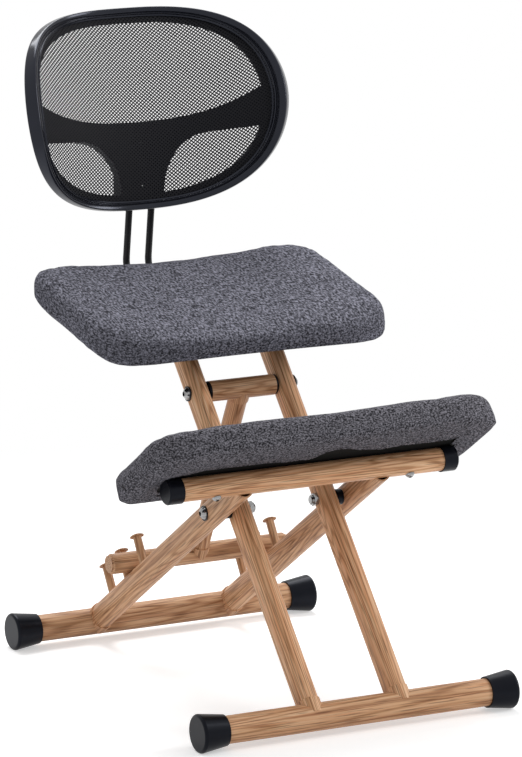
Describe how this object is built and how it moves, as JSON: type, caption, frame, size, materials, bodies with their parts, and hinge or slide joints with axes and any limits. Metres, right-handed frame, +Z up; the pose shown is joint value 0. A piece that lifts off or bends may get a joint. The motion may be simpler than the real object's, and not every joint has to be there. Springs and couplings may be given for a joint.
{
  "type": "kneeling chair",
  "caption": "Kneeling chair with a crossed wood-finish tube frame on a peg-rack strut, sloped seat, padded knee rest and curved mesh backrest.",
  "frame": {"origin": "on the floor under the centre of the chair's bounding box", "axes": "+X to the chair's right-hand side as seen from the front, +Y towards the backrest, +Z up"},
  "size_m": [0.522, 0.7452, 0.8864],
  "materials": {
    "wood_print_steel": "steel tube with a satin wood-grain film",
    "black_plastic": "moulded satin black",
    "black_steel": "black powder coat",
    "bright_steel": "bright zinc plate",
    "gloss_black": "gloss black moulding",
    "black_mesh": "fine open mesh",
    "grey_cloth": "grey melange linen weave over foam",
    "dust_cloth": "black non-woven dust cover",
    "plywood": "raw plywood"
  },
  "bodies": {
    "seat_frame": {"front_foot_tube": "wood_print_steel", "front_foot_cap_left": "black_plastic", "front_foot_cap_right": "black_plastic", "long_leg_left": "wood_print_steel", "long_leg_right": "wood_print_steel", "seat_rail_left": "black_steel", "seat_rail_right": "black_steel", "seat_screws": "bright_steel", "seat_board": "plywood", "seat_dust_cover": "dust_cloth", "seat_cushion": "grey_cloth", "rod_clamp": "black_steel", "rod_clamp_screws": "bright_steel", "back_rod_left": "black_steel", "back_rod_right": "black_steel", "back_bracket": "gloss_black", "back_frame": "gloss_black", "back_screws": "bright_steel", "back_mesh": "black_mesh", "back_rim": "gloss_black", "sleeve_bolt": "bright_steel", "sleeve_washers": "black_steel"},
    "rear_frame": {"rear_foot_tube": "wood_print_steel", "rear_foot_cap_left": "black_plastic", "rear_foot_cap_right": "black_plastic", "rear_leg_left": "wood_print_steel", "rear_leg_right": "wood_print_steel", "pegs_left": "wood_print_steel", "pegs_right": "wood_print_steel", "knee_tube": "wood_print_steel", "knee_tube_cap_left": "black_plastic", "knee_tube_cap_right": "black_plastic", "knee_bolts": "bright_steel", "knee_board": "plywood", "knee_dust_cover": "dust_cloth", "knee_cushion": "grey_cloth", "pivot_bolts": "bright_steel", "pivot_washers": "black_steel", "pivot_spacers": "black_plastic", "pivot_nuts": "bright_steel"},
    "strut": {"strut_sleeve": "wood_print_steel", "sleeve_bushings": "black_plastic", "strut_post": "wood_print_steel", "strut_crossbar": "wood_print_steel", "crossbar_plugs": "wood_print_steel"}
  },
  "joints": [
    {"name": "frame_fold", "type": "hinge", "parent": "seat_frame", "child": "rear_frame", "pos_m": [0, -0.13096, 0.266], "axis": [-1, 0, 0], "range_deg": [0, 8]},
    {"name": "strut_swing", "type": "hinge", "parent": "seat_frame", "child": "strut", "pos_m": [0, -0.00718, 0.40417], "axis": [-1, 0, 0], "range_deg": [0, 0.8]}
  ],
  "couplings": [
    {"joint": "strut_swing", "follows": "frame_fold", "ratio": 0.1}
  ]
}
